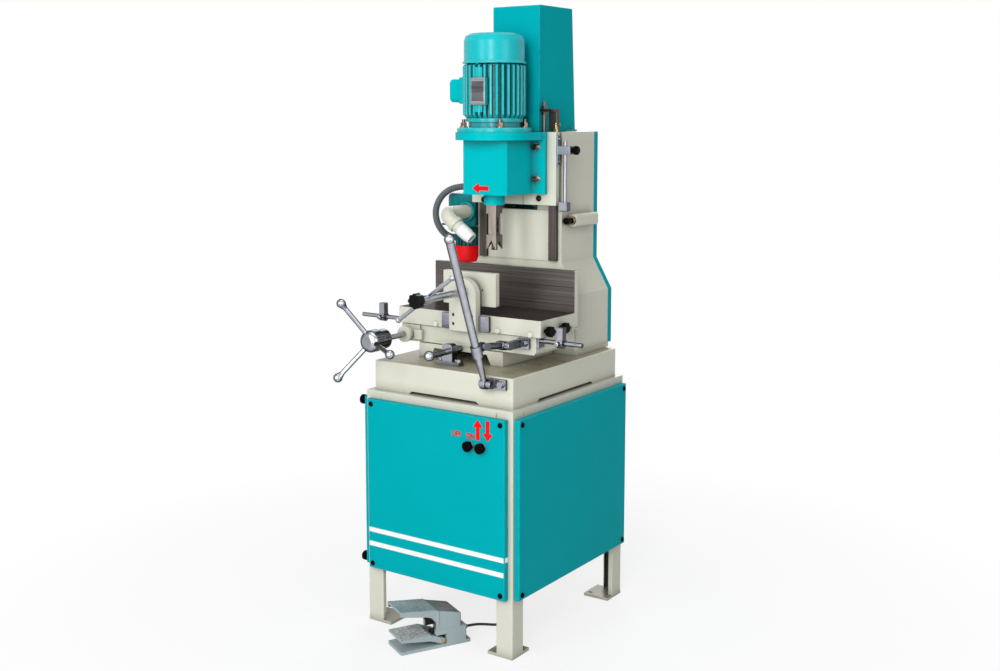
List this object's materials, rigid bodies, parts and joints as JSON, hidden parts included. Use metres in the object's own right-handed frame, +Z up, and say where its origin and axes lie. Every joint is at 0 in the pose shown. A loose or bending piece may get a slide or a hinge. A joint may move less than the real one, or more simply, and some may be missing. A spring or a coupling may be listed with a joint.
{
  "type": "hollow chisel mortiser",
  "caption": "Floor-standing hollow chisel mortiser with a hydraulic head, cross table with vise, capstan and hand lever, dust blower and foot pedal on a panelled steel stand.",
  "frame": {"origin": "on the floor, midway between the four anchor holes", "axes": "+Z up, -Y towards the operator, +X to the operator's right"},
  "size_m": [0.785, 0.7286, 1.655],
  "materials": {
    "cream_paint": "semi-gloss enamel on cast iron and sheet",
    "teal_paint": "satin enamel",
    "ground_iron": "ground and browned faces",
    "bright_steel": "turned and polished",
    "black_steel": "blackened steel",
    "chrome": "hard chrome",
    "black_plastic": "moulded phenolic",
    "grey_paint": "primer grey",
    "aluminium": "as cast",
    "cream_plastic": "moulded pipe",
    "grey_plastic": "ribbed conduit",
    "pedal_paint": "hammered paint on a light-alloy casting",
    "black_rubber": "smooth sheath"
  },
  "bodies": {
    "stand": {"legs": "cream_paint", "frame_rails": "cream_paint", "front_panel": "teal_paint", "rear_panel": "teal_paint", "right_panel": "teal_paint", "left_panel": "teal_paint", "panel_fasteners": "black_plastic", "button_bezels": "chrome", "power_pack": "grey_paint", "machine_base": "cream_paint", "cross_way": "cream_paint", "base_brackets": "bright_steel", "column": "cream_paint", "guide_rails": "black_steel", "rear_cover": "teal_paint", "cylinder_cover": "teal_paint", "hydraulic_cylinder": "grey_paint", "switch_housing": "cream_paint", "scroll_housing": "teal_paint", "blower_motor": "teal_paint", "blower_pipe": "cream_plastic", "blower_conduit": "grey_plastic", "pedal_base": "pedal_paint", "pedal_hood": "pedal_paint", "pedal_lead": "black_rubber"},
    "off_button": {"off_button": "black_plastic"},
    "on_button": {"on_button": "black_plastic"},
    "cross_stop": {"cross_stop_screw": "bright_steel"},
    "lever": {"hand_lever": "bright_steel"},
    "link": {"lever_link": "bright_steel"},
    "saddle": {"saddle": "cream_paint", "saddle_fittings": "bright_steel"},
    "capstan": {"capstan": "bright_steel"},
    "table": {"table": "ground_iron", "table_rack": "bright_steel", "fence": "ground_iron", "vise_bracket": "cream_paint"},
    "front_lock": {"front_lock_knob": "black_plastic"},
    "rear_lock": {"rear_lock_knob": "black_plastic"},
    "left_stop": {"left_stop": "bright_steel"},
    "right_stop": {"right_stop": "bright_steel"},
    "vise_jaw": {"vise_jaw": "cream_paint"},
    "vise_screw": {"vise_screw": "bright_steel"},
    "head": {"carriage": "cream_paint", "piston_rod": "chrome", "depth_bracket": "bright_steel", "head": "teal_paint", "head_fasteners": "bright_steel", "collar": "teal_paint", "chisel": "bright_steel", "motor_body": "teal_paint", "terminal_box": "teal_paint", "motor_cowl": "teal_paint"},
    "spindle": {"spindle": "bright_steel", "auger_bit": "bright_steel"},
    "depth_rod": {"depth_rod": "bright_steel"},
    "depth_knob": {"depth_knob": "black_plastic"},
    "plunger": {"switch_plunger": "black_plastic"},
    "blower_fan": {"blower_fan": "aluminium"},
    "treadle": {"treadle": "pedal_paint"}
  },
  "joints": [
    {"name": "head_slide", "type": "slide", "parent": "stand", "child": "head", "axis": [0, 0, 1], "range_m": [-0.15, 0]},
    {"name": "spindle_spin", "type": "hinge", "parent": "head", "child": "spindle", "pos_m": [0, -0.018, 1.25], "axis": [0, 0, 1], "continuous": true},
    {"name": "depth_rod_slide", "type": "slide", "parent": "head", "child": "depth_rod", "axis": [0, 0, 1], "range_m": [-0.015, 0.06]},
    {"name": "depth_knob_turn", "type": "hinge", "parent": "head", "child": "depth_knob", "pos_m": [0.18, 0.082, 1.27], "axis": [1, 0, 0], "range_deg": [0, 720]},
    {"name": "switch_press", "type": "slide", "parent": "stand", "child": "plunger", "axis": [0, 1, 0], "range_m": [0, 0.005], "stiffness_N_per_m": 400, "springref_m": -0.004},
    {"name": "saddle_slide", "type": "slide", "parent": "stand", "child": "saddle", "axis": [0, 1, 0], "range_m": [0, 0.045]},
    {"name": "lever_swing", "type": "hinge", "parent": "stand", "child": "lever", "pos_m": [0.15, -0.276, 0.699], "axis": [1, 0, 0], "range_deg": [-27, 0.3]},
    {"name": "link_swing", "type": "hinge", "parent": "saddle", "child": "link", "pos_m": [0.15, -0.198, 0.784], "axis": [1, 0, 0], "range_deg": [-0.3, 2.6]},
    {"name": "table_slide", "type": "slide", "parent": "saddle", "child": "table", "axis": [1, 0, 0], "range_m": [-0.115, 0.02]},
    {"name": "capstan_turn", "type": "hinge", "parent": "saddle", "child": "capstan", "pos_m": [-0.195, -0.12, 0.775], "axis": [0, 1, 0], "range_deg": [-331, 59]},
    {"name": "vise_slide", "type": "slide", "parent": "table", "child": "vise_jaw", "axis": [0, 1, 0], "range_m": [0, 0.1]},
    {"name": "vise_turn", "type": "hinge", "parent": "vise_jaw", "child": "vise_screw", "pos_m": [0, -0.2, 0.904], "axis": [0, 1, 0], "range_deg": [-3, 3610]},
    {"name": "front_lock_turn", "type": "hinge", "parent": "table", "child": "front_lock", "pos_m": [0.24, -0.124, 0.818], "axis": [1, 0, 0], "range_deg": [0, 180]},
    {"name": "rear_lock_turn", "type": "hinge", "parent": "table", "child": "rear_lock", "pos_m": [0.24, -0.051, 0.818], "axis": [1, 0, 0], "range_deg": [0, 180]},
    {"name": "left_stop_slide", "type": "slide", "parent": "saddle", "child": "left_stop", "axis": [1, 0, 0], "range_m": [-0.06, 0.09]},
    {"name": "right_stop_slide", "type": "slide", "parent": "saddle", "child": "right_stop", "axis": [1, 0, 0], "range_m": [-0.015, 0.05]},
    {"name": "cross_stop_slide", "type": "slide", "parent": "stand", "child": "cross_stop", "axis": [0, 1, 0], "range_m": [-0.005, 0.005]},
    {"name": "off_press", "type": "slide", "parent": "stand", "child": "off_button", "axis": [0, 1, 0], "range_m": [0, 0.004], "stiffness_N_per_m": 300, "springref_m": -0.004},
    {"name": "on_press", "type": "slide", "parent": "stand", "child": "on_button", "axis": [0, 1, 0], "range_m": [0, 0.004], "stiffness_N_per_m": 300, "springref_m": -0.004},
    {"name": "treadle_press", "type": "hinge", "parent": "stand", "child": "treadle", "pos_m": [0.00366, -0.29065, 0.017], "axis": [0.8838, -0.4679, 0], "range_deg": [0, 7], "stiffness_Nm_per_rad": 4, "springref_deg": -14.32},
    {"name": "blower_spin", "type": "hinge", "parent": "stand", "child": "blower_fan", "pos_m": [-0.224, 0.168, 1.09], "axis": [0, 0, 1], "continuous": true}
  ],
  "couplings": [
    {"joint": "lever_swing", "follows": "saddle_slide", "rad_per_m": -10.38},
    {"joint": "link_swing", "follows": "saddle_slide", "rad_per_m": 0.919},
    {"joint": "capstan_turn", "follows": "table_slide", "rad_per_m": 50},
    {"joint": "vise_turn", "follows": "vise_slide", "rad_per_m": 628.32}
  ]
}
